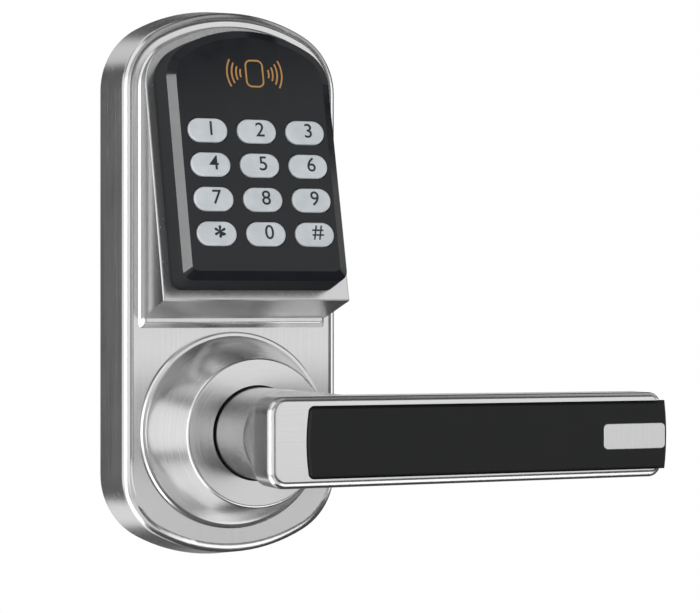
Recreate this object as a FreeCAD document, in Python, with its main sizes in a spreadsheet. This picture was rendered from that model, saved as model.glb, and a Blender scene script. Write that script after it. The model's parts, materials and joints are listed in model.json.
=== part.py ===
"""Keypad smart lock, outside unit: plate, rosette, lever, keypad and the works behind them.

Frame, in millimetres: X to the right across the door, Y into the door, Z up.
The door's face is the plane Y = 0 and the lever turns about the Y axis, so the
origin is where the lever's axis meets the door. "Out" is the distance from the
door, which is -Y. The keypad leans back: its own frame has x across, y up along
the face and z out of the face, with its origin between keys 1 and 3, at key 2.
"""
import FreeCAD, Part
import math
import os
import Sketcher

Vector = FreeCAD.Vector
doc = FreeCAD.newDocument("SmartLock")
sheet = doc.addObject("Spreadsheet::Sheet", "Dims")

DRIVING = [
    # escutcheon plate
    ("plate_half", 36.5, "half width at the door"),
    ("plate_top", 129.4, "top of the arch at the door"),
    ("plate_bottom", -39.4, "bottom of the arch at the door"),
    ("arch_radius", 52.2, "crown radius of the arch at the door"),
    ("corner_radius", 22.0, "radius where the arch meets the side"),
    ("plateau_out", 17.7, "height of the front"),
    ("wall_draft", 7.0, "side wall draft, degrees"),
    ("front_round", 2.9, "round between the side wall and the front"),
    ("groove_outer", 4.35, "outer side of the groove's floor, in from the door outline"),
    ("groove_inner", 5.45, "inner side of the groove's floor, in from the door outline"),
    ("groove_deep", 1.6, "depth of the groove that sets off the rim bead"),
    ("groove_flare", 25.0, "slope of the groove's sides, degrees"),
    ("groove_fade_top", -8.0, "where the groove starts to run out"),
    ("groove_fade_end", -23.0, "where the groove has run out"),
    ("cavity_rim_out", 11.9, "depth of the cavity beside the rim"),
    ("wall_thick", 2.5, "casting wall"),
    ("rim_width", 3.6, "rim that meets the door"),
    # rosette and its works
    ("rosette_radius", 30.0, "base of the rosette"),
    ("rosette_step", 1.6, "height of the rosette's base step"),
    ("rosette_front", 22.3, "radius of the flat front"),
    ("rosette_out", 38.9, "height of the flat front"),
    ("rosette_bore", 17.0, "bore for spring and bush"),
    ("neck_radius", 13.7, "lever neck"),
    ("neck_gap", 0.6, "visible gap round the neck"),
    ("hub_radius", 11.0, "drive hub"),
    ("journal_radius", 9.0, "hub journal in the back plate"),
    ("spindle_side", 8.0, "square spindle"),
    ("running_fit", 0.06, "radial clearance of running fits"),
    # lever
    ("bar_back", 70.0, "back of the bar"),
    ("bar_front", 85.3, "front of the bar"),
    ("bar_left", -14.8, "left end of the bar"),
    ("bar_tip", 111.6, "tip of the bar"),
    ("bar_centre", -0.45, "height of the bar's centre line"),
    ("bar_height", 26.0, "height at the neck"),
    ("bar_tip_height", 25.2, "height at the tip"),
    ("bar_corner", 5.0, "corner radius at the left end"),
    ("tip_corner", 3.8, "corner radius at the tip"),
    ("bar_edge", 2.1, "round of the bar's front edge"),
    ("flare_start", 62.0, "where the round neck starts to flare into the bar"),
    ("flare_end", 73.6, "where the flare has the bar's own section"),
    ("insert_left", -3.7, "left end of the dark insert"),
    ("insert_right", 112.6, "right end of the dark insert, before its bow"),
    ("insert_bow", 80.0, "radius of its bowed right end"),
    ("insert_height", 20.7, "height at the left"),
    ("insert_tip_height", 20.4, "height at the tip"),
    ("insert_deep", 1.8, "recess depth"),
    ("insert_proud", 0.3, "how far the insert stands proud"),
    ("insert_bevel", 1.0, "bevel round the insert"),
    ("badge_long", 20.9, "bright plate at the tip, length"),
    ("badge_tall", 7.7, "bright plate at the tip, height"),
    ("badge_thick", 0.6, "bright plate, thickness"),
    ("badge_corner", 1.4, "bright plate, corner radius"),
    # keypad
    ("face_out", 38.43, "keypad face at the top row of keys"),
    ("face_up", 89.79, "height of the top row of keys"),
    ("face_tilt", 14.1, "keypad face leans back, degrees"),
    ("housing_half", 29.8, "half width of the metal housing"),
    ("housing_drop", 11.6, "keypad face above the metal bezel"),
    ("bezel_bottom", -48.9, "bezel's lower edge on the face frame"),
    ("underside_top", 33.6, "where the sloping underside meets the plateau"),
    ("lip_proud", 0.5, "sloping lip round the housing's foot"),
    ("lip_thick", 1.9, "lip height"),
    ("lip_round", 1.0, "round of the lip's front edge"),
    ("lip_slope", 38.0, "slope of the lip, degrees"),
    ("bezel_round", 0.5, "round on the bezel's outer edge"),
    ("panel_half", 26.4, "panel half width at the bezel"),
    ("panel_shift", -0.8, "panel centre line"),
    ("key_shift", -0.4, "centre line of the keys"),
    ("panel_top", 34.4, "panel crown at the bezel"),
    ("panel_bottom", -45.8, "panel lower edge"),
    ("panel_arch", 38.0, "panel crown radius"),
    ("panel_corner", 12.5, "panel upper corner radius"),
    ("panel_foot", 3.4, "panel lower corner radius"),
    ("bevel_wide", 2.6, "bevel round the face"),
    ("bevel_deep", 1.4, "bevel round the face"),
    ("panel_wall", 2.2, "panel wall"),
    ("panel_skirt", 1.3, "panel's locating skirt inside the housing"),
    ("key_pitch_x", 15.53, "column pitch"),
    ("key_pitch_y", 10.57, "row pitch"),
    ("key_wide", 12.3, "key width"),
    ("key_tall", 7.3, "key height"),
    ("key_gap", 0.3, "gap round a key"),
    ("key_proud", 0.8, "key above the face"),
    ("key_flange", 0.7, "retaining flange beyond the cap"),
    # fixings
    ("post_radius", 4.0, "threaded mounting post"),
    ("post_spacing", 44.0, "between the two lower posts"),
    ("post_top_up", 109.0, "height of the upper post"),
    ("post_deep", 22.0, "post length inside the door"),
    ("post_thread", 2.5, "post thread radius"),
]
SIZES = {}
for row, (alias, number, note) in enumerate(DRIVING, 1):
    sheet.set(f"A{row}", note)
    sheet.set(f"B{row}", str(number))
    sheet.setAlias(f"B{row}", alias)
    SIZES[alias] = number
doc.recompute()


class Size:
    """A number together with the sheet expression that gives it."""

    def __init__(self, number, text=None):
        self.number = float(number)
        self.text = text or f"{number:.6g}"

    def _join(self, other, sign, number):
        return Size(number, f"({self.text} {sign} {size(other).text})")

    def __add__(self, other):
        return self._join(other, "+", self.number + size(other).number)

    def __sub__(self, other):
        return self._join(other, "-", self.number - size(other).number)

    def __mul__(self, other):
        return self._join(other, "*", self.number * size(other).number)

    def __truediv__(self, other):
        return self._join(other, "/", self.number / size(other).number)

    def __rsub__(self, other):
        return size(other) - self

    def __neg__(self):
        return Size(-self.number, f"(0 - {self.text})")

    __radd__ = __add__
    __rmul__ = __mul__


def size(value):
    """A Size from a Size, a sheet alias or a plain number."""
    if isinstance(value, Size):
        return value
    if isinstance(value, str):
        return Size(SIZES[value], f"Dims.{value}")
    return Size(value)


def root(value):
    return Size(math.sqrt(value.number), f"sqrt({value.text})")


def trig(name, degrees):
    number = getattr(math, name)(math.radians(degrees.number))
    return Size(number, f"{name}({degrees.text} * 1deg)")


TILT = size("face_tilt")
SIN, COS, TAN = trig("sin", TILT), trig("cos", TILT), trig("tan", TILT)


def bind(obj, name, value):
    value = size(value)
    if "." not in name:
        setattr(obj, name, value.number)
    obj.setExpression(name, value.text)


def body(label):
    made = doc.addObject("PartDesign::Body", label)
    made.Label = label
    return made


def sketch(owner, role, out=0.0):
    """An empty sketch on an origin plane of its body, moved along the plane's normal."""
    made = owner.newObject("Sketcher::SketchObject", owner.Name + "_sketch")
    plane = next(f for f in owner.Origin.OriginFeatures if f.Role == role)
    made.AttachmentSupport = [(plane, "")]
    made.MapMode = "FlatFace"
    out = size(out)
    made.AttachmentOffset = FreeCAD.Placement(Vector(0, 0, out.number), FreeCAD.Rotation())
    made.setExpression("AttachmentOffset.Base.z", out.text)
    return made


def arc_between(start, end, radius):
    """The arc of under half a turn that bulges to the right of start to end."""
    middle = (start + end) * 0.5
    chord = end - start
    side = Vector(-chord.y, chord.x, 0).normalize()
    reach = math.sqrt(max(radius ** 2 - (chord.Length / 2) ** 2, 0))
    centre = middle + side * reach
    circle = Part.Circle(centre, Vector(0, 0, 1), radius)
    return Part.ArcOfCircle(circle, circle.parameter(start), circle.parameter(end))


def draw(made, points):
    """A closed outline, anticlockwise: (x, y) or (x, y, radius of the arc that follows)."""
    points = [tuple(size(v) for v in p) for p in points]
    places = [Vector(p[0].number, p[1].number, 0) for p in points]
    first = made.GeometryCount
    for i, point in enumerate(points):
        start, end = places[i], places[(i + 1) % len(points)]
        if len(point) == 3:
            made.addGeometry(arc_between(start, end, point[2].number))
        else:
            made.addGeometry(Part.LineSegment(start, end))
    for i, point in enumerate(points):
        here, after = first + i, first + (i + 1) % len(points)
        made.addConstraint(Sketcher.Constraint("Coincident", here, 2, after, 1))
        for kind, value in (("DistanceX", point[0]), ("DistanceY", point[1])):
            fixed = made.addConstraint(Sketcher.Constraint(kind, -1, 1, here, 1, value.number))
            made.setExpression(f"Constraints[{fixed}]", value.text)
        if len(point) == 3:
            fixed = made.addConstraint(Sketcher.Constraint("Radius", here, point[2].number))
            made.setExpression(f"Constraints[{fixed}]", point[2].text)


def draw_circle(made, x, y, radius):
    x, y, radius = size(x), size(y), size(radius)
    circle = Part.Circle(Vector(x.number, y.number, 0), Vector(0, 0, 1), radius.number)
    here = made.addGeometry(circle)
    for kind, value in (("DistanceX", x), ("DistanceY", y)):
        fixed = made.addConstraint(Sketcher.Constraint(kind, -1, 1, here, 3, value.number))
        made.setExpression(f"Constraints[{fixed}]", value.text)
    fixed = made.addConstraint(Sketcher.Constraint("Radius", here, radius.number))
    made.setExpression(f"Constraints[{fixed}]", radius.text)


def box_path(left, right, low, high, corner=None):
    """A rectangle, or a rectangle with rounded corners."""
    left, right, low, high = size(left), size(right), size(low), size(high)
    if corner is None:
        return [(left, low), (right, low), (right, high), (left, high)]
    r = size(corner)
    return [
        (left + r, low), (right - r, low, r), (right, low + r), (right, high - r, r),
        (right - r, high), (left + r, high, r), (left, high - r), (left, low + r, r),
    ]


def arch_points(half, top, arch, corner):
    """Where a crown arc meets its corner arc, and where the corner meets the side."""
    reach = root((arch - corner) * (arch - corner) - (half - corner) * (half - corner))
    centre_up = top - arch
    share = arch / (arch - corner)
    return (half - corner) * share, centre_up + reach * share, centre_up + reach


def plate_path(inset):
    """The plate's outline, arched at both ends, moved in by inset."""
    half, top = size("plate_half") - inset, size("plate_top") - inset
    bottom = size("plate_bottom") + inset
    arch, corner = size("arch_radius") - inset, size("corner_radius") - inset
    meet_x, meet_up, side_up = arch_points(half, top, arch, corner)
    both = top + bottom
    return [
        (-meet_x, both - meet_up, arch), (meet_x, both - meet_up, corner),
        (half, both - side_up), (half, side_up, corner),
        (meet_x, meet_up, arch), (-meet_x, meet_up, corner),
        (-half, side_up), (-half, both - side_up, corner),
    ]


def arch_path(middle, half, top, bottom, arch, corner, foot):
    """An arched top on straight sides, with small corners at the bottom."""
    middle, half, top, bottom = size(middle), size(half), size(top), size(bottom)
    arch, corner, foot = size(arch), size(corner), size(foot)
    meet_x, meet_up, side_up = arch_points(half, top, arch, corner)
    return [
        (middle - half + foot, bottom), (middle + half - foot, bottom, foot),
        (middle + half, bottom + foot), (middle + half, side_up, corner),
        (middle + meet_x, meet_up, arch), (middle - meet_x, meet_up, corner),
        (middle - half, side_up), (middle - half, bottom + foot, foot),
    ]


def feature(owner, kind, profile, **values):
    made = owner.newObject(f"PartDesign::{kind}", f"{owner.Name}_{kind.lower()}")
    made.Profile = profile
    for name, value in values.items():
        if isinstance(value, (Size, str)) and name in ("Length", "TaperAngle"):
            bind(made, name, value)
        else:
            setattr(made, name, value)
    profile.Visibility = False
    return made


def pad(owner, role, out, path, length, **values):
    """A prism on a plane of the body. Out moves the plane along its own normal."""
    profile = sketch(owner, role, out)
    draw(profile, path)
    return feature(owner, "Pad", profile, Length=size(length), **values)


def pad_circles(owner, role, out, circles, length, **values):
    profile = sketch(owner, role, out)
    for x, y, radius in circles:
        draw_circle(profile, x, y, radius)
    return feature(owner, "Pad", profile, Length=size(length), **values)


def cut(owner, role, out, path, length, **values):
    """A pocket from a plane of the body into its positive side, checked to have cut."""
    profile = sketch(owner, role, out)
    draw(profile, path)
    return pocket(owner, profile, length, **values)


def cut_circles(owner, role, out, circles, length, **values):
    profile = sketch(owner, role, out)
    for x, y, radius in circles:
        draw_circle(profile, x, y, radius)
    return pocket(owner, profile, length, **values)


def pocket(owner, profile, length, **values):
    doc.recompute()
    before = owner.Shape.Volume
    values.setdefault("Reversed", True)
    made = feature(owner, "Pocket", profile, Length=size(length), **values)
    doc.recompute()
    if owner.Shape.Volume > before - 0.01:
        raise RuntimeError(f"{made.Name} cut nothing from {owner.Label}")
    return made


def turned(owner, points):
    """A solid turned about the Y axis from (radius, out) points."""
    profile = sketch(owner, "XY_Plane")
    places = [(size(r), -size(out)) for r, out in points]
    draw(profile, places)
    return feature(owner, "Revolution", profile, ReferenceAxis=(profile, ["V_Axis"]), Angle=360.0)


def edges(shape, test):
    return [f"Edge{i}" for i, edge in enumerate(shape.Edges, 1) if test(edge)]


def rounded(owner, radius, test):
    """A fillet on the edges that pass the test."""
    doc.recompute()
    base = owner.Tip
    made = owner.newObject("PartDesign::Fillet", owner.Name + "_fillet")
    made.Base = (base, edges(base.Shape, test))
    bind(made, "Radius", radius)
    return made


def chamfered(owner, amount, test):
    doc.recompute()
    base = owner.Tip
    made = owner.newObject("PartDesign::Chamfer", owner.Name + "_chamfer")
    made.Base = (base, edges(base.Shape, test))
    bind(made, "Size", amount)
    return made


def flat_at_out(out):
    """Picks edges that lie wholly at one distance out from the door."""
    level = -size(out).number
    return lambda edge: all(abs(p.y - level) < 0.01 for p in edge.discretize(5))


def placed(obj, x=0.0, y=0.0, z=0.0, leaning=False):
    """Binds a sub-part's Placement. Leaning turns its XY plane onto the keypad's face."""
    x, y, z = size(x), size(y), size(z)
    turn = size(90) - TILT if leaning else size(0)
    rotation = FreeCAD.Rotation(Vector(1, 0, 0), turn.number)
    obj.Placement = FreeCAD.Placement(Vector(x.number, y.number, z.number), rotation)
    for name, value in (("x", x), ("y", y), ("z", z)):
        obj.setExpression(f"Placement.Base.{name}", value.text)
    if leaning:
        obj.setExpression("Placement.Rotation.Angle", turn.text)
    return obj


def on_face(obj, x=0.0, y=0.0, z=0.0):
    """Places a sub-part in the keypad's leaning frame."""
    x, y, z = size(x), size(y), size(z)
    place_y = y * SIN - z * COS - "face_out"
    place_z = y * COS + z * SIN + "face_up"
    return placed(obj, x, place_y, place_z, leaning=True)


def cylinder(name, radius, length, x=0.0, out=0.0, up=0.0, along="out"):
    """A Part cylinder from a point, running out from the door or up."""
    made = doc.addObject("Part::Cylinder", name)
    bind(made, "Radius", radius)
    bind(made, "Height", length)
    turn = 90 if along == "out" else 0
    x, y, z = size(x), -size(out), size(up)
    made.Placement = FreeCAD.Placement(
        Vector(x.number, y.number, z.number), FreeCAD.Rotation(Vector(1, 0, 0), turn)
    )
    for axis, value in (("x", x), ("y", y), ("z", z)):
        made.setExpression(f"Placement.Base.{axis}", value.text)
    return made


def block(name, wide, deep, tall, x, out, up):
    """A Part box centred on x, from out towards the door by deep, and from up by tall."""
    made = doc.addObject("Part::Box", name)
    bind(made, "Length", wide)
    bind(made, "Width", deep)
    bind(made, "Height", tall)
    x, y, z = size(x) - size(wide) / 2, -size(out), size(up)
    made.Placement.Base = Vector(x.number, y.number, z.number)
    for axis, value in (("x", x), ("y", y), ("z", z)):
        made.setExpression(f"Placement.Base.{axis}", value.text)
    return made


def fused(label, shapes):
    made = doc.addObject("Part::MultiFuse", label)
    made.Shapes = shapes
    made.Label = label
    return made


def group(label, shapes):
    """Identical separate solids that share one node."""
    made = doc.addObject("Part::Compound", label)
    made.Links = shapes
    made.Label = label
    return made


def carved(label, base, tool):
    made = doc.addObject("Part::Cut", label)
    made.Base = base
    made.Tool = tool
    made.Label = label
    return made


# ---------------------------------------------------------------- plate

BOSS_PLACES = [(24.5, -14.0), (-24.5, -14.0), (27.0, 40.0), (-27.0, 40.0), (20.0, 112.0), (-20.0, 112.0)]
PANEL_SCREWS = [(19.0, 105.0), (-19.0, 105.0), (20.5, 51.0), (-20.5, 51.0)]
ROSETTE_SCREWS = [(24.3 * math.cos(a), 24.3 * math.sin(a)) for a in map(math.radians, (30, 150, 270))]
BOARD_SCREWS = [(19.0, 62.0), (-19.0, 62.0), (19.0, 96.0), (-19.0, 96.0)]
HOUSING_SCREWS = [(12.0, 40.8), (-12.0, 40.8)]
POST_SIDE = size("post_spacing") / 2
POSTS = [(POST_SIDE, size(0)), (-POST_SIDE, size(0)), (size(0), size("post_top_up"))]
BACK_PLATE_OUT = 2.5
BACK_PLATE_THICK = 1.5


def plate_groove():
    """The groove inside the rim bead. Its floor climbs to the front near the bottom, where it runs out."""
    floor = size("plateau_out") - "groove_deep"
    ring = body("groove_ring")
    profile = sketch(ring, "XZ_Plane", floor)
    draw(profile, plate_path(size("groove_outer")))
    draw(profile, plate_path(size("groove_inner")))
    feature(ring, "Pad", profile, Length=size(3.0), TaperAngle=size("groove_flare"))
    rounded(ring, 0.45, flat_at_out(floor))
    ramp = body("groove_ramp")
    side = sketch(ramp, "YZ_Plane")
    top, end, low = size("groove_fade_top"), size("groove_fade_end"), size("plate_bottom") - 5
    draw(side, [
        (-size(26.0), low), (2 - floor, low), (2 - floor, top), (-floor, top),
        (-size("plateau_out"), end), (-26, end),
    ])
    feature(ramp, "Pad", side, Length=size(90), Midplane=True)
    return carved("groove_cut", ring, ramp)


def front_plate():
    made = body("plate_casting")
    pad(made, "XZ_Plane", 0, plate_path(size(0)), "plateau_out", TaperAngle=-size("wall_draft"))
    rounded(made, "front_round", flat_at_out("plateau_out"))
    cut(made, "XZ_Plane", 0, plate_path(size("rim_width")), "cavity_rim_out")
    deep = size("plateau_out") - "wall_thick"
    cut(made, "XZ_Plane", 0, plate_path(size(9.0)), deep)
    bosses = [(x, z, 3.4) for x, z in BOSS_PLACES]
    pad_circles(made, "XZ_Plane", BACK_PLATE_OUT, bosses, deep - BACK_PLATE_OUT)
    supports = [(x, z, 2.4) for x, z in BOARD_SCREWS]
    pad_circles(made, "XZ_Plane", 12.2, supports, deep - 12.2)
    sockets = [(x, z, size("post_radius") + 2.2) for x, z in POSTS]
    pad_circles(made, "XZ_Plane", 7.0, sockets, deep - 7.0)
    cut_circles(made, "XZ_Plane", 7.0, [(x, z, "post_radius") for x, z in POSTS], deep - 7.0)
    cut_circles(made, "XZ_Plane", 0, [(0, 0, "rosette_bore")], 20)
    cut_circles(made, "XZ_Plane", 0, [(x, z, 1.3) for x, z in BOSS_PLACES], 10)
    cut_circles(made, "XZ_Plane", 0, [(x, z, 1.0) for x, z in BOARD_SCREWS], 16)
    through = [(x, z, 1.6) for x, z in PANEL_SCREWS + ROSETTE_SCREWS + HOUSING_SCREWS]
    cut_circles(made, "XZ_Plane", 0, through, 20)
    cut(made, "XZ_Plane", 0, box_path(-14, 14, 66, 92, 3), 20)
    groove = sketch(made, "XZ_Plane", 0)
    draw(groove, plate_path(size(1.0)))
    draw(groove, plate_path(size(2.8)))
    pocket(made, groove, 0.8)
    return carved("front_plate", made, plate_groove())


def door_gasket():
    made = body("door_gasket")
    profile = sketch(made, "XZ_Plane", 0)
    draw(profile, plate_path(size(1.0)))
    draw(profile, plate_path(size(2.8)))
    feature(made, "Pad", profile, Length=size(0.8))
    return made


def back_plate():
    made = body("back_plate")
    inset = size("rim_width") + 0.5
    pad(made, "XZ_Plane", BACK_PLATE_OUT - BACK_PLATE_THICK, plate_path(inset), BACK_PLATE_THICK)
    bore = size("journal_radius") + "running_fit"
    holes = [(x, z, size("post_radius") + 0.2) for x, z in POSTS] + [(0, 0, bore)]
    holes += [(x, z, 1.7) for x, z in BOSS_PLACES]
    cut_circles(made, "XZ_Plane", 0, holes, 5)
    cut(made, "XZ_Plane", 0, box_path(-9, 9, 66, 80, 3), 5)
    return made


def screws(label, places, head_out, head_radius, head_long, shank_radius, shank_long):
    """Pan-head screws that point away from the door, one solid each."""
    made = []
    for i, (x, z) in enumerate(places):
        head = cylinder(f"{label}_head{i}", head_radius, head_long, x, head_out, z)
        shank = cylinder(f"{label}_shank{i}", shank_radius, shank_long, x, size(head_out) + head_long, z)
        slot = block(f"{label}_slot{i}", size(head_radius) * 1.4, 0.5, 0.6, x, size(head_out) + 0.5, z - 0.3)
        made.append(carved(f"{label}_{i}", fused(f"{label}_whole{i}", [head, shank]), slot))
    return group(label, made)


def mounting_posts():
    """Three threaded posts that reach through the door to the inside unit's screws."""
    made = []
    start = -size("post_deep")
    seat = size("plateau_out") - "wall_thick"
    for i, (x, z) in enumerate(POSTS):
        post = cylinder(f"post_rod{i}", "post_radius", seat - start, x, start, z)
        thread = cylinder(f"post_bore{i}", "post_thread", 16, x, start, z)
        made.append(carved(f"post{i}", post, thread))
    return group("mounting_posts", made)


# ---------------------------------------------------------------- rosette and lever works

def rosette():
    made = body("rosette")
    base, step = size("plateau_out"), size("rosette_step")
    front, hole = size("rosette_out"), size("neck_radius") + "neck_gap"
    turned(made, [
        ("rosette_bore", base), ("rosette_radius", base), ("rosette_radius", base + step - 0.5),
        (size("rosette_radius") - 0.5, base + step), (size("rosette_radius") - 1.3, base + step + 0.1),
        ("rosette_front", front), (hole, front), (hole, front - 2.5), ("rosette_bore", front - 2.5),
    ])
    reach = size("rosette_front").number
    rounded(made, 1.0, lambda e: flat_at_out("rosette_out")(e) and e.BoundBox.XMax > reach - 0.1)
    cut_circles(made, "XZ_Plane", 0, [(x, z, 1.3) for x, z in ROSETTE_SCREWS], 24.5)
    return made


def ring(label, inner_radius, outer_radius, out, thick):
    made = body(label)
    out = size(out)
    far = out + thick
    turned(made, [(inner_radius, out), (outer_radius, out), (outer_radius, far), (inner_radius, far)])
    return made


def coil(label, mean_radius, wire, pitch, turns, step, base, up):
    """A round-wire coil about an axis through base, along Y or Z, joined from stretches of step turns."""
    helix = Part.makeHelix(pitch, pitch * step, mean_radius)
    along = Vector(0, 2 * math.pi * mean_radius, pitch)
    section = Part.Wire(Part.Circle(Vector(mean_radius, 0, 0), along, wire / 2).toShape())
    stretch = Part.Wire(helix.Edges).makePipeShell([section], True, True)
    stretches = []
    for i in range(round(turns / step)):
        turned_on = stretch.copy()
        turned_on.rotate(Vector(0, 0, 0), Vector(0, 0, 1), 360 * step * i)
        turned_on.translate(Vector(0, 0, pitch * step * i))
        stretches.append(turned_on)
    made = doc.addObject("Part::Feature", label)
    made.Label = label
    made.Shape = stretches[0].multiFuse(stretches[1:]) if stretches[1:] else stretch
    turn = 0 if up else 90
    made.Placement = FreeCAD.Placement(base, FreeCAD.Rotation(Vector(1, 0, 0), turn))
    return made


def drive_hub():
    made = body("drive_hub")
    bore = (size("spindle_side") / 2) * 1.56
    turned(made, [
        (bore, 0.8), ("journal_radius", 0.8), ("journal_radius", 3.4), ("hub_radius", 3.4),
        ("hub_radius", 24.0), (0, 24.0), (0, 16.0), (bore, 16.0),
    ])
    cut_circles(made, "XY_Plane", 8.2, [(0, -7.5, 1.55)], 4)
    return made


def drive_pin():
    """The hub's drive pin, which the clutch slider pushes in."""
    return renamed(cylinder("drive_pin", 1.5, 2.6, 0, 7.5, 8.3, along="up"))


def spindle():
    made = body("spindle")
    side = size("spindle_side") / 2
    pad(made, "XZ_Plane", -45, box_path(-side, side, -side, side), 59)
    journal = side * 1.56 - "running_fit"
    pad_circles(made, "XZ_Plane", 1.5, [(0, 0, journal)], 4)
    chamfered(made, 0.8, lambda e: all(abs(p.y - 45) < 0.01 for p in e.discretize(3)))
    return made


def renamed(obj):
    obj.Label = obj.Name
    return obj


# ---------------------------------------------------------------- lever

def bar_path(left, right, tall, tip_tall, corner, tip_corner):
    """A bar that tapers gently to its tip."""
    left, right, corner, tip_corner = size(left), size(right), size(corner), size(tip_corner)
    half, tip_half, mid = size(tall) / 2, size(tip_tall) / 2, size("bar_centre")
    return [
        (left + corner, mid - half), (right - tip_corner, mid - tip_half, tip_corner),
        (right, mid - tip_half + tip_corner), (right, mid + tip_half - tip_corner, tip_corner),
        (right - tip_corner, mid + tip_half), (left + corner, mid + half, corner),
        (left, mid + half - corner), (left, mid - half + corner, corner),
    ]


def insert_path(grow=0.0):
    """The insert's outline: both ends bow out a little, and the right one caps the tip."""
    half, tip_half = size("insert_height") / 2 + grow, size("insert_tip_height") / 2 + grow
    left, right, mid, r = size("insert_left") - grow, size("insert_right"), size("bar_centre"), size(1.8)
    return [
        (left + 2.4, mid - half), (right, mid - tip_half, "insert_bow"),
        (right, mid + tip_half), (left + 2.4, mid + half, r),
        (left + 0.6, mid + half - 1.9, 60), (left + 0.6, mid - half + 1.9, r),
    ]


def lever_body():
    made = body("lever_body")
    deep = size("bar_front") - "bar_back"
    path = bar_path("bar_left", "bar_tip", "bar_height", "bar_tip_height", "bar_corner", "tip_corner")
    pad(made, "XZ_Plane", "bar_back", path, deep)
    rounded(made, "bar_edge", flat_at_out("bar_front"))
    rounded(made, 3.6, flat_at_out("bar_back"))
    neck_end = size("flare_start") + 2
    pad_circles(made, "XZ_Plane", 24.0, [(0, 0, "neck_radius")], neck_end - 24.0)
    radius = size("neck_radius")
    round_section = sketch(made, "XZ_Plane", "flare_start")
    draw(round_section, box_path(-radius, radius, -radius, radius, radius - 0.05))
    bar_section = sketch(made, "XZ_Plane", "flare_end")
    half, mid = size("bar_height") / 2 - 0.06, size("bar_centre")
    draw(bar_section, box_path(size("bar_left") + 0.05, 17, mid - half, mid + half, size("bar_corner")))
    flare = made.newObject("PartDesign::AdditiveLoft", "lever_flare")
    flare.Profile = round_section
    flare.Sections = [bar_section]
    seat = size("bar_front") - "insert_deep"
    cut(made, "XZ_Plane", seat, insert_path(), 5)
    slot = sketch(made, "XZ_Plane", 24.9)
    draw_circle(slot, 0, 0, 20)
    draw_circle(slot, 0, 0, size("neck_radius") - 1.3)
    pocket(made, slot, 1.2)
    cut_circles(made, "XY_Plane", -14.0, [(0, -52, 2.0)], 7)
    return made


def lever_insert():
    made = body("lever_insert")
    seat = size("bar_front") - "insert_deep"
    thick = size("insert_deep") + "insert_proud"
    pad(made, "XZ_Plane", seat, insert_path(), thick)
    front = size("bar_front") + "insert_proud"
    chamfered(made, "insert_bevel", flat_at_out(front))
    cut(made, "XZ_Plane", front - "badge_thick", badge_path(), 2)
    return made


def badge_path():
    right, mid = size("insert_right") - 0.3, size("bar_centre") - 0.3
    low, high = mid - size("badge_tall") / 2, mid + size("badge_tall") / 2
    return box_path(right - "badge_long", right, low, high, "badge_corner")


def lever_badge():
    made = body("lever_badge")
    front = size("bar_front") + "insert_proud"
    pad(made, "XZ_Plane", front - "badge_thick", badge_path(), size("badge_thick") + 0.1)
    chamfered(made, 0.2, flat_at_out(front + 0.1))
    return made


def lever_set_screw():
    """A socket set screw up through the underside of the neck."""
    rod = cylinder("set_rod", 1.95, 5.6, 0, 52, -13.4, along="up")
    socket = cylinder("set_socket", 1.0, 2.4, 0, 52, -13.4, along="up")
    return carved("lever_set_screw", rod, socket)


# ---------------------------------------------------------------- keypad

def bezel_out(up):
    """How far out the bezel plane is at a height."""
    drop = size("housing_drop") / COS
    return size("face_out") - drop + (size("face_up") - up) * TAN


def on_bezel(edge):
    """Picks the edges of the housing's bezel."""
    return all(abs(p.y + bezel_out(size(p.z)).number) < 0.02 for p in edge.discretize(5))


def housing_path(inset, bottom):
    edge = size("plate_half") - size("housing_half") + inset
    half, top = size("housing_half") - inset, size("plate_top") - edge
    return arch_path(0, half, top, bottom, size("arch_radius") - edge, size("corner_radius") - edge, 1.2)


def wedge(label, inset, bottom_cut, front_cut, start):
    """The housing's arched prism, sliced by the leaning bezel and the sloping underside."""
    made = body(label)
    low_up = size("underside_top") + bottom_cut
    pad(made, "XZ_Plane", start, housing_path(inset, low_up - 0.5), 30)
    edge_up = size("face_up") + size("bezel_bottom") * COS - size("housing_drop") * SIN
    edge_out = bezel_out(edge_up)
    side = sketch(made, "YZ_Plane")
    high = size("plate_top") + 10
    draw(side, [
        (front_cut - edge_out, edge_up + bottom_cut), (front_cut - bezel_out(high), high),
        (-60, high), (-60, edge_up + bottom_cut),
    ])
    pocket(made, side, 90, Midplane=True)
    foot = sketch(made, "YZ_Plane")
    draw(foot, [
        (-size("plateau_out") + 1, low_up - 0.3), (-size("plateau_out") + 1, 20),
        (-60, 20), (-60, edge_up + bottom_cut + 6), (front_cut - edge_out, edge_up + bottom_cut),
    ])
    pocket(made, foot, 90, Midplane=True)
    return made


def panel_path(inset, top_drop, foot_lift):
    half, arch = size("panel_half") - inset, size("panel_arch") - inset
    top, bottom = size("panel_top") - top_drop, size("panel_bottom") + foot_lift
    corner, foot = size("panel_corner") - inset, size("panel_foot") - inset / 2
    return arch_path("panel_shift", half, top, bottom, arch, corner, foot)


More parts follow.
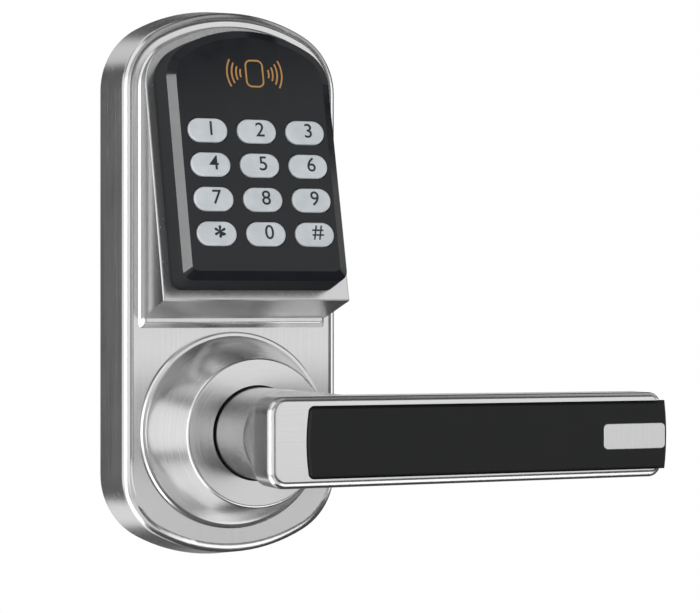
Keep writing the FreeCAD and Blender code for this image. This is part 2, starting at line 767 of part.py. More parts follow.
def keypad_housing():
    outer = wedge("housing_outer", size(0), size(0), size(0), "plateau_out")
    rounded(outer, "bezel_round", on_bezel)
    lip = body("housing_lip")
    proud = -size("lip_proud")
    foot = housing_path(proud, size("underside_top") - 2.4)
    pad(lip, "XZ_Plane", "plateau_out", foot, "lip_thick", TaperAngle=-size("lip_slope"))
    above = sketch(lip, "YZ_Plane")
    low, high = size("face_up") + 10, size("plate_top") + 10
    draw(above, [(0 - bezel_out(low), low), (0 - bezel_out(high), high), (-60, high), (-60, low)])
    pocket(lip, above, 90, Midplane=True)
    rounded(lip, "lip_round", flat_at_out(size("plateau_out") + "lip_thick"))
    core = wedge("housing_core", size(2.4), size(2.4), size("wall_thick"), size("plateau_out") - 5)
    window = on_face(body("housing_window"), z=-size("housing_drop"))
    pad(window, "XY_Plane", -6, panel_path(size(1.9), size(1.9), size(1.9)), 12)
    pillars = []
    for i, (x, z) in enumerate(HOUSING_SCREWS):
        post = cylinder(f"housing_pillar{i}", 3.0, 12, x, "plateau_out", z)
        hole = cylinder(f"housing_pilot{i}", 1.2, 9, x, "plateau_out", z)
        pillars.append((post, hole))
    shell = carved("housing_shell", fused("housing_solid", [outer, lip]), fused("housing_void", [core, window]))
    whole = fused("housing_whole", [shell] + [post for post, hole in pillars])
    return carved("keypad_housing", whole, group("housing_pilots", [hole for post, hole in pillars]))


def keypad_panel():
    outer = on_face(body("panel_outer"))
    base = sketch(outer, "XY_Plane", -size("housing_drop"))
    draw(base, panel_path(size(0), size(0), size(0)))
    shoulder = sketch(outer, "XY_Plane", -size("bevel_deep"))
    draw(shoulder, panel_path(size(0.4), size(2.2), size(0.3)))
    face = sketch(outer, "XY_Plane", 0)
    bevel = size("bevel_wide")
    draw(face, panel_path(bevel + 0.4, bevel + 2.2, bevel + 0.3))
    for low, high in ((base, shoulder), (shoulder, face)):
        made = outer.newObject("PartDesign::AdditiveLoft", "panel_loft")
        made.Profile = low
        made.Sections = [high]
        made.Ruled = True
    skirt = size("panel_skirt")
    pad(outer, "XY_Plane", -size("housing_drop") - skirt, panel_path(size(2.3), size(2.3), size(2.3)), skirt)
    core = on_face(body("panel_core"))
    deep = size("housing_drop")
    pad(core, "XY_Plane", -deep - 6, panel_path(size(3.0), size(5.2), size(3.8)), deep + 6 - "panel_wall")
    pillars = []
    for i, (x, z) in enumerate(PANEL_SCREWS):
        front = bezel_out(size(z)) + size("housing_drop") / COS - 1.2
        pillars.append(cylinder(f"panel_pillar{i}", 2.6, front - "plateau_out", x, "plateau_out", z))
    pilots = [cylinder(f"panel_pilot{i}", 1.2, 8, x, "plateau_out", z) for i, (x, z) in enumerate(PANEL_SCREWS)]
    bosses = on_face(body("panel_bosses"))
    pad_circles(outer_bosses(bosses), "XY_Plane", -8, [(x, y, 1.9) for x, y in KEYBOARD_SCREWS], 6.4)
    cut_circles(bosses, "XY_Plane", -8, [(x, y, 0.9) for x, y in KEYBOARD_SCREWS], 4)
    windows = on_face(body("panel_windows"))
    for x, y, name in key_places():
        grow = size("key_gap")
        path = key_path(x, y, size("key_wide") / 2 + grow, size("key_tall") / 2 + grow)
        pad(windows, "XY_Plane", -4, path, 8)
    shell = carved("panel_shell", outer, core)
    whole = fused("panel_whole", [shell, bosses] + pillars)
    return carved("keypad_panel", whole, fused("panel_voids", [windows] + pilots))


def outer_bosses(made):
    """Gives the bosses one body by standing them on a thin bar inside the front wall."""
    pad(made, "XY_Plane", -2.0, box_path(-15, 15, -40.4, 10.4, 1), 0.5)
    return made


KEYBOARD_SCREWS = [(14.0, 8.5), (-14.0, 8.5), (14.0, -38.4), (-14.0, -38.4)]
KEY_NAMES = ["1", "2", "3", "4", "5", "6", "7", "8", "9", "star", "0", "hash"]


def key_places():
    """Centre of each key on the face, with its name."""
    for i, name in enumerate(KEY_NAMES):
        x = (i % 3 - 1) * size("key_pitch_x") + "key_shift"
        y = -(i // 3) * size("key_pitch_y")
        yield x, y, name


def key_path(x, y, half, tall):
    x, y, half, tall = size(x), size(y), size(half), size(tall)
    return box_path(x - half, x + half, y - tall, y + tall, tall - 0.05)


def key_cap(x, y, name):
    made = on_face(body(f"key_{name}"), x, y)
    half, tall, flange = size("key_wide") / 2, size("key_tall") / 2, size("key_flange")
    shelf = -size("panel_wall") - 0.4
    pad(made, "XY_Plane", shelf - 0.9, key_path(0, 0, half + flange, tall + flange), 0.9)
    pad(made, "XY_Plane", shelf - 0.1, key_path(0, 0, half, tall), 0.1 - shelf + "key_proud")
    top = size("key_proud").number
    rounded(made, 0.5, lambda e: all(abs(p.z - top) < 0.01 for p in e.discretize(5)))
    return made


def keypad_board():
    made = on_face(body("keypad_board"))
    middle, wide, tab = size("panel_shift"), size(22.6), size(17)
    pad(made, "XY_Plane", -9.6, [
        (middle - tab, -40.8), (middle + tab, -40.8), (middle + tab, -34.6), (middle + wide, -34.6),
        (middle + wide, 11.5), (middle - wide, 11.5), (middle - wide, -34.6), (middle - tab, -34.6),
    ], 1.6)
    cut_circles(made, "XY_Plane", -12, [(x, y, 1.0) for x, y in KEYBOARD_SCREWS], 6)
    return made


def key_membrane():
    """One rubber mat with a dome under each key."""
    made = on_face(body("key_membrane"))
    pad(made, "XY_Plane", -8.0, box_path(-22.4, 21.4, -34.4, 6.2, 1.5), 1.4)
    domes = [(x, y, 2.8) for x, y, name in key_places()]
    shelf = -size("panel_wall") - 0.4 - 0.9
    pad_circles(made, "XY_Plane", -6.7, domes, shelf - 0.05 + 6.7, TaperAngle=-size(12))
    return made


def card_antenna():
    """The card reader's flat coil, bonded behind the upper part of the face."""
    made = on_face(body("card_antenna"))
    profile = sketch(made, "XY_Plane", -size("panel_wall") - 0.8)
    draw(profile, box_path(-12.5, 12.5, 12.5, 26.5, 3))
    draw(profile, box_path(-10.3, 10.3, 14.7, 24.3, 1.5))
    feature(made, "Pad", profile, Length=size(0.8))
    return made


def leaning_screws():
    """Screws that hold the key board to the panel, square to the face."""
    made = []
    for i, (x, y) in enumerate(KEYBOARD_SCREWS):
        screw = on_face(body(f"keyboard_screw{i}"), x, y, -9.6)
        pad_circles(screw, "XY_Plane", -1.3, [(0, 0, 1.8)], 1.3)
        pad_circles(screw, "XY_Plane", 0, [(0, 0, 0.85)], 4.5)
        cut(screw, "XY_Plane", -1.3, box_path(-1.3, 1.3, -0.3, 0.3), 0.5)
        made.append(screw)
    return group("keyboard_screws", made)


# ---------------------------------------------------------------- electronics and clutch

def controller_board():
    made = body("controller_board")
    pad(made, "XZ_Plane", 10.6, box_path(-22, 22, 58.5, 99.5, 1.5), 1.6)
    cut_circles(made, "XZ_Plane", 8, [(x, z, 1.2) for x, z in BOARD_SCREWS], 6)
    return made


def cable_socket():
    """The board's cable socket, facing the opening in the back plate."""
    outer = block("socket_block", 13, 4.6, 7, 0, 10.6, 69.5)
    mouth = block("socket_mouth", 10.6, 3.4, 4.6, 0, 9.0, 70.7)
    return carved("cable_socket", outer, mouth)


def buzzer():
    made = body("buzzer")
    turned(made, [(0, 6.4), (1.0, 6.4), (1.0, 6.0), (5.0, 6.0), (5.0, 10.6), (0, 10.6)])
    return placed(made, x=12.5, z=88.0)


def clutch_frame():
    """The clutch's frame: a pocket for the motor and a channel for the slider."""
    outer = block("frame_block", 18, 11.8, 31.5, 0, 15.2, 19.0)
    motor = cylinder("frame_motor", 4.1, 16.4, 0, 7.5, 32.0, along="up")
    back = block("frame_open", 8.2, 5.0, 16.4, 0, 7.5, 32.0)
    channel = block("frame_channel", 6.6, 6.8, 11, 0, 10.9, 18.0)
    shaft = block("frame_shaft", 4.4, 4.4, 6, 0, 9.7, 27.0)
    return carved("clutch_frame", outer, fused("frame_void", [motor, back, channel, shaft]))


def clutch_motor():
    can = cylinder("motor_can", 4.0, 15.0, 0, 7.5, 32.4, along="up")
    shaft = cylinder("motor_shaft", 0.75, 7.0, 0, 7.5, 25.8, along="up")
    return fused("clutch_motor", [can, shaft])


def clutch_slider():
    outer = block("slider_block", 6.0, 6.0, 10.5, 0, 10.5, 14.2)
    bore = cylinder("slider_bore", 1.1, 6.0, 0, 7.5, 19.0, along="up")
    return carved("clutch_slider", outer, bore)


def build():
    """Every sub-part, in the order it is put together."""
    spring_seat = Vector(0, -18.9, 0)
    parts = [front_plate(), door_gasket(), back_plate(), mounting_posts()]
    parts.append(screws("back_plate_screws", BOSS_PLACES, -0.3, 2.6, 1.3, 1.25, 8.5))
    wall = size("plateau_out") - "wall_thick"
    parts.append(screws("rosette_screws", ROSETTE_SCREWS, wall - 1.6, 2.7, 1.6, 1.25, 8.5))
    parts.append(screws("panel_screws", PANEL_SCREWS, wall - 1.6, 2.7, 1.6, 1.15, 9.5))
    parts.append(screws("housing_screws", HOUSING_SCREWS, wall - 1.6, 2.5, 1.6, 1.15, 10.0))
    parts += [rosette(), ring("neck_bush", size("neck_radius") + "running_fit", "rosette_bore", 27.0, 9.4)]
    parts.append(ring("wave_washer", size("neck_radius") + 0.5, size("rosette_bore") - 0.4, 26.5, 0.5))
    parts.append(ring("retaining_ring", size("neck_radius") - 1.3, size("neck_radius") + 2.2, 25.0, 1.0))
    parts.append(coil("return_spring", 13.9, 1.4, 1.75, 2.4, 0.4, spring_seat, up=False))
    parts += [drive_hub(), drive_pin(), spindle()]
    parts += [lever_body(), lever_insert(), lever_badge(), lever_set_screw()]
    parts += [keypad_housing(), keypad_panel(), keypad_board(), key_membrane(), card_antenna()]
    parts.append(leaning_screws())
    parts += [key_cap(x, y, name) for x, y, name in key_places()]
    parts += [controller_board(), cable_socket(), buzzer()]
    parts.append(screws("controller_screws", BOARD_SCREWS, 9.3, 2.1, 1.3, 0.95, 4.2))
    parts += [clutch_frame(), clutch_motor(), clutch_slider()]
    parts.append(coil("clutch_spring", 1.55, 0.5, 1.4, 4, 4, Vector(0, -7.5, 25.0), up=True))
    return parts


def main():
    parts = build()
    doc.recompute()
    for obj in doc.Objects:
        if "Invalid" in obj.State or "Error" in obj.State:
            raise RuntimeError(f"{obj.Label} failed: {obj.State}")
    for part in parts:
        if part.Shape.isNull() or not part.Shape.isValid():
            raise RuntimeError(f"{part.Label} has no valid shape")
    os.makedirs("parts", exist_ok=True)
    for part in parts:
        part.Shape.exportStep(f"parts/{part.Label}.step")


main()
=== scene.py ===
"""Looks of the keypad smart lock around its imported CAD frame, in metres."""
import json
import math

import bpy
from mathutils import Matrix, Vector


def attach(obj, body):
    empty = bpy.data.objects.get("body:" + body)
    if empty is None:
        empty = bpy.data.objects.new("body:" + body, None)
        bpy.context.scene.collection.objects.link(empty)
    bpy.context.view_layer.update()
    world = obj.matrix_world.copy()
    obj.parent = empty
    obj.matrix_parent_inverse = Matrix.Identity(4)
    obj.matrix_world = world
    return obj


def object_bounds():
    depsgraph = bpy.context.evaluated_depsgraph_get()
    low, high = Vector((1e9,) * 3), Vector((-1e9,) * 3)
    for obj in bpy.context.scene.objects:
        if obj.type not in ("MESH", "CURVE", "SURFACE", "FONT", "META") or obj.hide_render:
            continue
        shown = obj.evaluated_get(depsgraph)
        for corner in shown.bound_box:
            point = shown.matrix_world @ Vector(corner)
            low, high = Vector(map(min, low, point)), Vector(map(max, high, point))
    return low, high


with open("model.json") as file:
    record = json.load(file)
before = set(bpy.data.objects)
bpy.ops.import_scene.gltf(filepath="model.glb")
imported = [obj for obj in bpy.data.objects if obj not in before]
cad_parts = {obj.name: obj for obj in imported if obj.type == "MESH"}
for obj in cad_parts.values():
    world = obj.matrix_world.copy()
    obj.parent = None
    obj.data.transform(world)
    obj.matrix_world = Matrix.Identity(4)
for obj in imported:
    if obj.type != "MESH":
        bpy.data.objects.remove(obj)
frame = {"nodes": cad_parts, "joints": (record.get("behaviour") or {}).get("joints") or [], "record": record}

MM = 0.001
NODES = frame["nodes"]
cad_low, cad_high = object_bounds()
scene = bpy.context.scene
scene.view_settings.view_transform = "Standard"

# The keypad leans back. Its own frame has x across, s up along the face and n out of it.
KEYS = ["1", "2", "3", "4", "5", "6", "7", "8", "9", "star", "0", "hash"]
press = next(j for j in frame["joints"] if j["name"] == "key_1_press")
ACROSS = Vector((1, 0, 0))
OUTWARD = -Vector(press["axis"]).normalized()
UPWARD = OUTWARD.cross(ACROSS)


def face_span(node):
    """Lowest and highest (x, s, n) of a CAD node in the keypad's leaning frame."""
    points = [v.co for v in NODES[node].data.vertices]
    rows = [(p.dot(ACROSS), p.dot(UPWARD), p.dot(OUTWARD)) for p in points]
    return Vector(map(min, zip(*rows))), Vector(map(max, zip(*rows)))


def on_face(x, s, n):
    return ACROSS * x + UPWARD * s + OUTWARD * n


# ------------------------------------------------------------------ camera

CAMERA_PLACE = (-0.2805, -0.7501, 0.0397)
CAMERA_TURN = 23.58  # degrees to the right of straight at the door
CAMERA_SHIFT = -0.00944
CAMERA_REACH = 20
SENSOR_WIDTH = 36  # mm
FOCAL_LENGTH = 131.87  # mm


def make_camera():
    """The photograph's view: level, from the left of the lever's axis, with a long lens."""
    turn = math.radians(CAMERA_TURN)
    data = bpy.data.cameras.new("camera")
    data.sensor_width = SENSOR_WIDTH
    data.lens = FOCAL_LENGTH
    data.shift_y = CAMERA_SHIFT
    data.clip_end = CAMERA_REACH
    cam = bpy.data.objects.new("camera", data)
    scene.collection.objects.link(cam)
    cam.location = CAMERA_PLACE
    look = Vector((math.sin(turn), math.cos(turn), 0))
    cam.rotation_euler = look.to_track_quat("-Z", "Y").to_euler()
    scene.camera = cam


# ------------------------------------------------------------------ node helpers

class Shader:
    """A material with short calls for its nodes."""

    def __init__(self, name):
        self.mat = bpy.data.materials.new(name)
        self.mat.use_nodes = True
        self.tree = self.mat.node_tree
        self.bsdf = self.tree.nodes["Principled BSDF"]

    def node(self, kind, **values):
        made = self.tree.nodes.new(kind)
        for name, value in values.items():
            setattr(made, name, value)
        return made

    def link(self, source, target):
        self.tree.links.new(source, target)

    def set(self, **values):
        for name, value in values.items():
            self.bsdf.inputs[name.replace("_", " ")].default_value = value

    def place(self, scale=(1, 1, 1)):
        """Object coordinates in metres, scaled per axis."""
        coords = self.node("ShaderNodeTexCoord")
        mapping = self.node("ShaderNodeMapping")
        mapping.inputs["Scale"].default_value = scale
        self.link(coords.outputs["Object"], mapping.inputs["Vector"])
        return mapping.outputs["Vector"]

    def noise(self, vector, scale=1.0, detail=3.0, roughness=0.55):
        made = self.node("ShaderNodeTexNoise")
        made.inputs["Scale"].default_value = scale
        made.inputs["Detail"].default_value = detail
        made.inputs["Roughness"].default_value = roughness
        self.link(vector, made.inputs["Vector"])
        return made.outputs["Fac"]

    def spread(self, fac, low, high, start=0.3, end=0.7):
        """Maps a factor onto a range of numbers."""
        made = self.node("ShaderNodeMapRange")
        limits = {"From Min": start, "From Max": end, "To Min": low, "To Max": high}
        for name, value in limits.items():
            made.inputs[name].default_value = value
        self.link(fac, made.inputs["Value"])
        return made.outputs["Result"]

    def tint(self, fac, dark, light, start=0.3, end=0.7):
        """Maps a factor onto two colours."""
        made = self.node("ShaderNodeValToRGB")
        made.color_ramp.elements[0].position = start
        made.color_ramp.elements[1].position = end
        made.color_ramp.elements[0].color = (*dark, 1)
        made.color_ramp.elements[1].color = (*light, 1)
        self.link(fac, made.inputs["Fac"])
        return made.outputs["Color"]

    def math(self, operation, a, b=None):
        made = self.node("ShaderNodeMath", operation=operation)
        for slot, value in zip(made.inputs, (a, b)):
            if isinstance(value, (int, float)):
                slot.default_value = value
            elif value is not None:
                self.link(value, slot)
        return made.outputs[0]

    def bump(self, height, strength, distance):
        made = self.node("ShaderNodeBump")
        made.inputs["Strength"].default_value = strength
        made.inputs["Distance"].default_value = distance
        self.link(height, made.inputs["Height"])
        return made.outputs["Normal"]

    def finish(self, color=None, roughness=None, normal=None, tangent=None):
        sources = {"Base Color": color, "Roughness": roughness, "Normal": normal, "Tangent": tangent}
        for name, source in sources.items():
            if source is not None:
                self.link(source, self.bsdf.inputs[name])
        return self.mat


def dress(node, mat):
    """Gives a CAD node its material."""
    for slot in NODES[node].material_slots:
        slot.link = "OBJECT"
        slot.material = mat


# ------------------------------------------------------------------ materials

# Noise frequency per metre, across and along the brushing, and around a spun face.
FINE, LONG, AROUND = 2600.0, 22.0, 2.5
NEAR_ZERO = 0.0001


def spun_brushing(s):
    """Streak coordinates and tangent for scratches that run around the lever's axis."""
    coords = s.node("ShaderNodeTexCoord")
    split = s.node("ShaderNodeSeparateXYZ")
    s.link(coords.outputs["Object"], split.inputs[0])
    x, y, z = split.outputs
    radius = s.math("SQRT", s.math("ADD", s.math("MULTIPLY", x, x), s.math("MULTIPLY", z, z)))
    joined = s.node("ShaderNodeCombineXYZ")
    s.link(s.math("MULTIPLY", radius, FINE), joined.inputs[0])
    s.link(s.math("MULTIPLY", y, FINE), joined.inputs[1])
    around = s.math("DIVIDE", x, s.math("ADD", radius, NEAR_ZERO))
    s.link(s.math("MULTIPLY", around, AROUND), joined.inputs[2])
    tangent = s.node("ShaderNodeTangent", direction_type="RADIAL", axis="Y")
    return joined.outputs[0], tangent.outputs[0]


def straight_brushing(s, scales, along):
    """Streak coordinates and tangent for scratches that run along one of the piece's axes."""
    streak_at = s.place(scales)
    straight = s.node("ShaderNodeCombineXYZ")
    for slot, value in zip(straight.inputs, along):
        slot.default_value = value
    world = s.node("ShaderNodeVectorTransform", vector_type="VECTOR")
    world.convert_from, world.convert_to = "OBJECT", "WORLD"
    s.link(straight.outputs[0], world.inputs[0])
    return streak_at, world.outputs[0]


def nickel(name, scales=None, along=None, base=0.68, rough=(0.20, 0.28), grain=1.0):
    """Satin nickel with long fine scratches and a matching sheen; spun when no scales are given."""
    s = Shader(name)
    s.set(Metallic=1.0, Anisotropic=0.55)
    streak_at, tangent = straight_brushing(s, scales, along) if scales else spun_brushing(s)
    streak = s.noise(streak_at, 1.0, 4.0, 0.6)
    cloud = s.noise(s.place((60, 60, 60)), 1.0, 2.0)
    both = s.math("ADD", s.math("MULTIPLY", streak, 0.8), s.math("MULTIPLY", cloud, 0.2))
    color = s.tint(both, [base * 0.93] * 3, [base * 1.07] * 3)
    roughness = s.spread(both, rough[0], rough[1])
    normal = s.bump(streak, 0.03 * grain, 0.00004)
    return s.finish(color, roughness, normal, tangent)


def plastic(
    name, color, rough, spread=0.05, grain=0.0, grain_scale=9000, specular=0.5, ior=1.5, polished=None
):
    """Moulded plastic: a slight mottle in colour and gloss, and a spark-eroded grain if asked.

    polished is the direction that its glossy front faces; walls square to that are matt.
    """
    s = Shader(name)
    s.set(Specular_IOR_Level=specular, IOR=ior)
    mottle = s.noise(s.place(), 180, 3)
    tone = s.tint(mottle, [c * 0.92 for c in color], [min(c * 1.08, 1) for c in color])
    roughness = s.spread(mottle, rough - spread, rough + spread)
    if polished is not None:
        facing = s.node("ShaderNodeVectorMath", operation="DOT_PRODUCT")
        s.link(s.node("ShaderNodeTexCoord").outputs["Normal"], facing.inputs[0])
        facing.inputs[1].default_value = polished
        matt = s.spread(facing.outputs["Value"], 0.85, 0.0, 0.2, 0.4)
        roughness = s.math("MAXIMUM", roughness, matt)
    normal = None
    if grain:
        normal = s.bump(s.noise(s.place(), grain_scale, 2), grain, 0.00003)
    return s.finish(tone, roughness, normal)


def steel(name, color, rough=0.3, scale=500):
    """Plated or oiled steel with a soft crystalline mottle."""
    s = Shader(name)
    s.set(Metallic=1.0)
    spangle = s.node("ShaderNodeTexVoronoi")
    spangle.inputs["Scale"].default_value = scale
    s.link(s.place(), spangle.inputs["Vector"])
    mottle = s.noise(s.place(), scale * 0.6, 4)
    facets = s.math("MULTIPLY", spangle.outputs["Distance"], 0.35)
    both = s.math("ADD", facets, s.math("MULTIPLY", mottle, 0.8))
    tone = s.tint(both, [c * 0.8 for c in color], [min(c * 1.15, 1) for c in color])
    return s.finish(tone, s.spread(both, rough - 0.08, rough + 0.1), s.bump(mottle, 0.08, 0.00005))


def circuit_board():
    """Green solder mask with faint tracks under it."""
    s = Shader("circuit_board")
    s.set(Coat_Weight=0.6, Coat_Roughness=0.15)
    brick = s.node("ShaderNodeTexBrick")
    brick.inputs["Scale"].default_value = 260
    brick.inputs["Mortar Size"].default_value = 0.06
    s.link(s.place(), brick.inputs["Vector"])
    tracks = brick.outputs["Fac"]
    tone = s.tint(tracks, (0.012, 0.11, 0.045), (0.03, 0.20, 0.09), 0.2, 0.8)
    return s.finish(tone, s.spread(tracks, 0.35, 0.45), s.bump(tracks, 0.2, 0.00003))


def printed(name, color, rough=0.45):
    """Screen-printed ink with a slight unevenness."""
    s = Shader(name)
    mottle = s.noise(s.place(), 1800, 2)
    tone = s.tint(mottle, [c * 0.85 for c in color], [min(c * 1.1, 1) for c in color])
    return s.finish(tone, s.spread(mottle, rough - 0.05, rough + 0.05))


def pale_floor():
    """Matt off-white, with a little light of its own so that it stays pale far from the lamps."""
    s = Shader("pale_floor")
    s.set(Emission_Color=(1, 1, 1, 1), Emission_Strength=0.5)
    mottle = s.noise(s.place(), 40, 3)
    tone = s.tint(mottle, (0.80, 0.80, 0.80), (0.84, 0.84, 0.84))
    return s.finish(tone, s.spread(mottle, 0.55, 0.65))


UP_BRUSH = dict(scales=(FINE, FINE, LONG), along=(0, 0, 1))
ALONG_BRUSH = dict(scales=(LONG, FINE, FINE), along=(1, 0, 0))


def dress_cad():
    """Gives each CAD node the material that its slot in the record names."""
    plate = nickel("plate_nickel", **UP_BRUSH)
    spun = nickel("spun_nickel")
    lever = nickel("lever_nickel", **ALONG_BRUSH, grain=0.3)
    badge = nickel("badge_nickel", **UP_BRUSH, base=0.74, rough=(0.28, 0.36))
    looks = {
        "satin_nickel": plate,
        "bright_badge": badge,
        "black_insert": plastic("black_insert", (0.006, 0.0065, 0.007), 0.45, grain=0.15, specular=0.3),
        "black_gloss": plastic(
            "black_gloss", (0.009, 0.010, 0.012), 0.12, 0.03, ior=1.35, polished=OUTWARD
        ),
        "key_grey": plastic("key_grey", (0.62, 0.66, 0.69), 0.38, grain=0.08),
        "gasket_foam": plastic("gasket_foam", (0.03, 0.03, 0.03), 0.85, grain=0.6, grain_scale=2500),
        "zinc_steel": steel("zinc_steel", (0.56, 0.57, 0.60), 0.3),
        "spring_steel": steel("spring_steel", (0.30, 0.30, 0.31), 0.33, 900),
        "bush_bronze": steel("bush_bronze", (0.06, 0.045, 0.03), 0.5, 1500),
        "circuit_board": circuit_board(),
        "key_rubber": plastic("key_rubber", (0.10, 0.10, 0.11), 0.7, grain=0.2),
        "antenna_copper": steel("antenna_copper", (0.72, 0.36, 0.19), 0.3, 1500),
        "white_nylon": plastic("white_nylon", (0.72, 0.71, 0.67), 0.5, grain=0.15),
        "black_plastic": plastic("black_plastic", (0.02, 0.02, 0.02), 0.45, grain=0.2),
        "motor_can": steel("motor_can", (0.60, 0.60, 0.61), 0.25, 700),
    }
    for part in frame["record"]["subparts"]:
        dress(part["node"], looks[part["material_slot"]])
    dress("rosette", spun)
    dress("lever_body", lever)


# ------------------------------------------------------------------ printed marks

PRINT_RAISED = 0.04 * MM
SIGNS = {"star": "*", "hash": "#"}
DIGIT_SIZE, DIGIT_SWELL = 6.2 * MM, 0.03 * MM
STAR_SIZE, STAR_SWELL = 8.0 * MM, 0.14 * MM
DIGIT_RIGHT, DIGIT_UP = 0.95 * MM, 0.5 * MM  # from the middle of the key

CARD_WIDE, CARD_TALL, CARD_CORNER = 5.4 * MM, 8.2 * MM, 1.7 * MM
ARCS = ((4.6, 16), (5.9, 21), (7.3, 26), (8.8, 29))  # radius in mm, half angle in degrees
ICON_LINE = 0.5 * MM
ICON_RIGHT, ICON_UP = 1.2 * MM, 18.3 * MM  # from the middle of key_2


def add(name, mesh, mat, body):
    """Puts a printed mark in the scene, riding on a body."""
    obj = bpy.data.objects.new(name, mesh)
    scene.collection.objects.link(obj)
    mesh.materials.append(mat)
    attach(obj, body)
    return obj


def face_matrix(x, s, n):
    """Carries a flat drawing to a place on the keypad's face."""
    turn = Matrix((ACROSS, UPWARD, OUTWARD)).transposed().to_4x4()
    turn.translation = on_face(x, s, n)
    return turn


def digit(key, ink):
    """A digit printed on its key, a little to the right of the middle."""
    low, high = face_span(f"key_{key}")
    curve = bpy.data.curves.new(f"digit_{key}", "FONT")
    curve.body = SIGNS.get(key, key)
    curve.size = STAR_SIZE if key == "star" else DIGIT_SIZE
    curve.offset = STAR_SWELL if key == "star" else DIGIT_SWELL
    curve.align_x = "CENTER"
    curve.extrude = PRINT_RAISED / 2
    curve.resolution_u = 6
    maker = bpy.data.objects.new("maker", curve)
    scene.collection.objects.link(maker)
    bpy.context.view_layer.update()
    shown = maker.evaluated_get(bpy.context.evaluated_depsgraph_get())
    mesh = bpy.data.meshes.new_from_object(shown)
    bpy.data.objects.remove(maker)
    sides = [v.co.x for v in mesh.vertices]
    tops = [v.co.y for v in mesh.vertices]
    centre = Vector(((min(sides) + max(sides)) / 2, (min(tops) + max(tops)) / 2, 0))
    mesh.transform(Matrix.Translation(-centre))
    x = (low.x + high.x) / 2 + DIGIT_RIGHT
    s = (low.y + high.y) / 2 + DIGIT_UP
    mesh.transform(face_matrix(x, s, high.z + PRINT_RAISED / 2))
    add(f"digit_{key}", mesh, ink, f"key_{key}")


def ribbon(points, width, closed=False):
    """Vertices and faces of a flat raised strip along (x, s) points."""
    count = len(points)
    verts, faces = [], []
    for i, p in enumerate(points):
        before = points[i - 1] if closed or i else p
        after = points[(i + 1) % count] if closed or i < count - 1 else p
        along = (Vector(after) - Vector(before)).normalized()
        side = Vector((-along.y, along.x)) * width / 2
        for n in (0, PRINT_RAISED):
            for sign in (1, -1):
                verts.append((p[0] + sign * side.x, p[1] + sign * side.y, n))
    for i in range(count if closed else count - 1):
        a, b = 4 * i, 4 * ((i + 1) % count)
        faces += [(a + 2, a + 3, b + 3, b + 2), (a, b, b + 1, a + 1)]
        faces += [(a, a + 2, b + 2, b), (a + 1, b + 1, b + 3, a + 3)]
    if not closed:
        last = 4 * (count - 1)
        faces += [(0, 1, 3, 2), (last, last + 2, last + 3, last + 1)]
    return verts, faces


def arc(radius, middle, half, steps=20, centre=(0, 0)):
    """Points of an arc about centre; middle and half are angles in degrees."""
    angles = [math.radians(middle - half + 2 * half * i / steps) for i in range(steps + 1)]
    return [(centre[0] + radius * math.cos(a), centre[1] + radius * math.sin(a)) for a in angles]


def card_outline(wide, tall, corner):
    """A closed rounded rectangle."""
    points = []
    for sx, sy, middle in ((1, 1, 45), (-1, 1, 135), (-1, -1, 225), (1, -1, 315)):
        centre = (sx * (wide / 2 - corner), sy * (tall / 2 - corner))
        points += arc(corner, middle, 45, 6, centre)
    return points


def card_icon(ink):
    """A plain card between two sets of spreading arcs, above the keys."""
    low, high = face_span("key_2")
    top = face_span("keypad_panel")[1].z
    place = face_matrix((low.x + high.x) / 2 + ICON_RIGHT, (low.y + high.y) / 2 + ICON_UP, top)
    strips = [(card_outline(CARD_WIDE, CARD_TALL, CARD_CORNER), True)]
    for side in (0, 180):
        for radius, half in ARCS:
            strips.append((arc(radius * MM, side, half), False))
    for number, (points, closed) in enumerate(strips):
        verts, faces = ribbon(points, ICON_LINE, closed)
        mesh = bpy.data.meshes.new(f"card_icon_{number}")
        mesh.from_pydata(verts, [], faces)
        mesh.transform(place)
        add(f"card_icon_{number}", mesh, ink, "root")


# ------------------------------------------------------------------ stage and light

WORLD_SEEN, WORLD_REFLECTED = 1.0, 0.06  # brightness behind the object and in its reflections
FLOOR_DROP, FLOOR_REACH = 0.5, 1.5

# Azimuth in degrees and radiance of each softbox, level with the object, above it and below it.
RING = {-120: 1.0, -80: 2.0, -38: 1.0, 80: 1.4, 160: 0.6}
ABOVE = {-150: 0.7, -85: 1.1, -30: 0.4, 95: 0.5}
BELOW = {-150: 0.9, -95: 2.6, -38: 0.8}
TILT = 42
BOX_AWAY, BOX_TALL = 1.2, 0.84
RING_WIDE, TILTED_WIDE = 0.84, 0.9


def toward(azimuth, elevation):
    """A direction: azimuth 0 is in front of the lock and 90 to its right."""
    a, e = math.radians(azimuth), math.radians(elevation)
    return math.sin(a) * math.cos(e), -math.cos(a) * math.cos(e), math.sin(e)


def softbox(name, direction, distance, wide, tall, radiance):
    """A soft panel light aimed at the object's middle, with its brightness as radiance."""
    aim = (cad_low + cad_high) / 2
    data = bpy.data.lights.new(name, "AREA")
    data.shape = "RECTANGLE"
    data.size, data.size_y = wide, tall
    data.energy = radiance * wide * tall * math.pi
    obj = bpy.data.objects.new(name, data)
    scene.collection.objects.link(obj)
    obj.location = aim + Vector(direction).normalized() * distance
    obj.rotation_euler = (aim - obj.location).to_track_quat("-Z", "Y").to_euler()
    obj.visible_camera = False
    return obj


def light_only(light, nodes):
    """Keeps a light to a few pieces."""
    lit = bpy.data.collections.new(f"{light.name}_lit")
    for node in nodes:
        lit.objects.link(NODES[node])
    light.light_linking.receiver_collection = lit


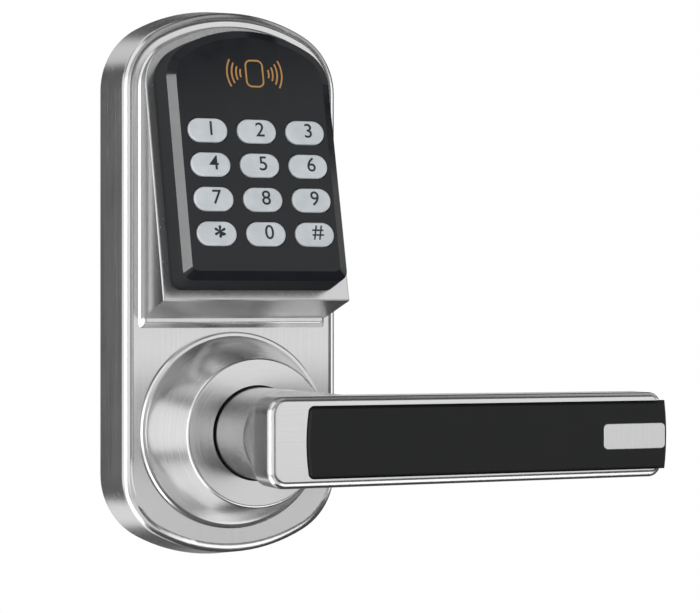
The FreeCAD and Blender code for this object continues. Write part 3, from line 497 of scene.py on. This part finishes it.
def make_world():
    """White behind the object, dim in reflections."""
    world = bpy.data.worlds.new("studio")
    scene.world = world
    world.use_nodes = True
    tree = world.node_tree
    tree.nodes.clear()
    out = tree.nodes.new("ShaderNodeOutputWorld")
    mix = tree.nodes.new("ShaderNodeMixShader")
    path = tree.nodes.new("ShaderNodeLightPath")
    for tone, slot in ((WORLD_REFLECTED, mix.inputs[1]), (WORLD_SEEN, mix.inputs[2])):
        shade = tree.nodes.new("ShaderNodeBackground")
        shade.inputs["Color"].default_value = (tone, tone, tone, 1)
        tree.links.new(shade.outputs[0], slot)
    tree.links.new(path.outputs["Is Camera Ray"], mix.inputs[0])
    tree.links.new(mix.outputs[0], out.inputs[0])


def make_stage():
    """A pale floor well below the object, which neither shades nor mirrors in it."""
    mesh = bpy.data.meshes.new("floor")
    level, reach = cad_low.z - FLOOR_DROP, FLOOR_REACH
    corners = [(-reach, -reach), (reach, -reach), (reach, reach), (-reach, reach)]
    mesh.from_pydata([(x, y, level) for x, y in corners], [], [(0, 1, 2, 3)])
    floor = bpy.data.objects.new("floor", mesh)
    scene.collection.objects.link(floor)
    mesh.materials.append(pale_floor())
    floor.visible_glossy = False
    floor.visible_shadow = False


def make_lights():
    """Soft panels all round, brightest at the left, with one facing the door and two small fills."""
    for azimuth, radiance in RING.items():
        softbox(f"ring_{azimuth}", toward(azimuth, 0), BOX_AWAY, RING_WIDE, BOX_TALL, radiance)
    for azimuth, radiance in ABOVE.items():
        softbox(f"above_{azimuth}", toward(azimuth, TILT), BOX_AWAY, TILTED_WIDE, BOX_TALL, radiance)
    for azimuth, radiance in BELOW.items():
        softbox(f"below_{azimuth}", toward(azimuth, -TILT), BOX_AWAY, TILTED_WIDE, BOX_TALL, radiance)
    softbox("front", toward(24, 11), distance=1.4, wide=1.2, tall=1.15, radiance=1.0)
    softbox("front_low", toward(30, -50), distance=1.2, wide=0.9, tall=0.7, radiance=1.7)
    softbox("top", toward(0, 84), distance=1.2, wide=0.84, tall=0.84, radiance=0.4)
    # The bright streak on the panel's left bevel.
    strip = softbox("strip", (-0.52, -0.744, 0.417), distance=1.0, wide=0.30, tall=0.45, radiance=12.0)
    light_only(strip, ["keypad_panel"])
    fill = softbox("key_fill", (0.1, -0.7, 0.7), distance=1.2, wide=0.8, tall=0.8, radiance=0.8)
    light_only(fill, [f"key_{key}" for key in KEYS])


def main():
    make_camera()
    make_world()
    make_stage()
    make_lights()
    dress_cad()
    ink = printed("key_ink", (0.02, 0.022, 0.025))
    for key in KEYS:
        digit(key, ink)
    card_icon(printed("amber_ink", (0.60, 0.31, 0.09)))


main()
